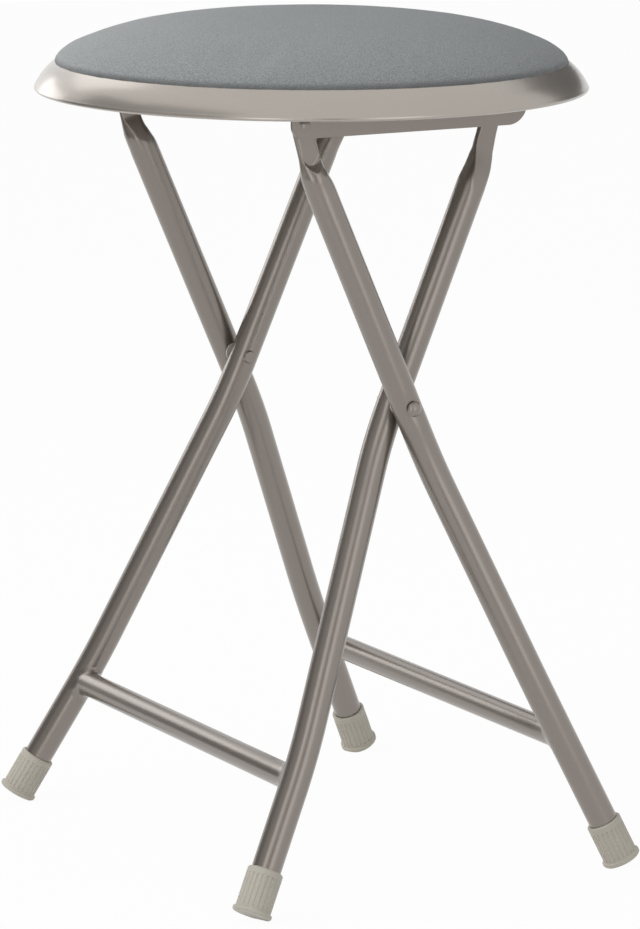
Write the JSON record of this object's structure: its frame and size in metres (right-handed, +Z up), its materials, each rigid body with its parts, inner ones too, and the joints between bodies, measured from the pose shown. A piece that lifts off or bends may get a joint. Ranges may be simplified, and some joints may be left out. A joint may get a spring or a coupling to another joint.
{
  "type": "folding stool",
  "caption": "Round padded counter-height stool on two crossing tube frames that fold flat.",
  "frame": {"origin": "on the floor, below the middle of the round seat", "axes": "+Z up; X along the folding axis; the outer frame's feet are at +Y and the inner frame's at -Y"},
  "size_m": [0.4262, 0.416, 0.6326],
  "materials": {
    "frame_paint": "pewter metallic gloss enamel",
    "rim_paint": "pewter metallic gloss enamel",
    "rivet_paint": "painted over with the frame",
    "pin_steel": "zinc plated",
    "washer_plastic": "natural nylon",
    "foot_plastic": "moulded grey polyethylene",
    "board_wood": "raw chipboard",
    "foam": "open-cell foam",
    "vinyl": "fine-grained vinyl, satin"
  },
  "bodies": {
    "outer_frame": {"outer_leg_right": "frame_paint", "outer_leg_left": "frame_paint", "outer_stretcher": "frame_paint", "outer_foot_right": "foot_plastic", "outer_foot_left": "foot_plastic", "mid_rivet_right": "rivet_paint", "mid_rivet_left": "rivet_paint", "mid_spacer_right": "washer_plastic", "mid_spacer_left": "washer_plastic", "top_rivet_right": "rivet_paint", "top_rivet_left": "rivet_paint", "top_washer_right": "washer_plastic", "top_washer_left": "washer_plastic"},
    "inner_frame": {"inner_leg_right": "frame_paint", "inner_leg_left": "frame_paint", "inner_stretcher": "frame_paint", "inner_foot_right": "foot_plastic", "inner_foot_left": "foot_plastic", "hook_pin_right": "pin_steel", "hook_pin_left": "pin_steel"},
    "seat": {"seat_pan": "rim_paint", "seat_board": "board_wood", "seat_foam": "foam", "seat_cover": "vinyl", "seat_screws": "pin_steel", "bracket_right": "frame_paint", "bracket_left": "frame_paint", "bracket_screws_right": "pin_steel", "bracket_screws_left": "pin_steel"}
  },
  "joints": [
    {"name": "seat_fold", "type": "hinge", "parent": "outer_frame", "child": "seat", "pos_m": [0, -0.0875, 0.57], "axis": [1, 0, 0], "range_deg": [0, 101]},
    {"name": "leg_fold", "type": "hinge", "parent": "outer_frame", "child": "inner_frame", "pos_m": [0, 0.003, 0.356], "axis": [1, 0, 0], "range_deg": [0, 34.5]}
  ],
  "couplings": [
    {"joint": "leg_fold", "follows": "seat_fold", "ratio": 0.34158}
  ]
}
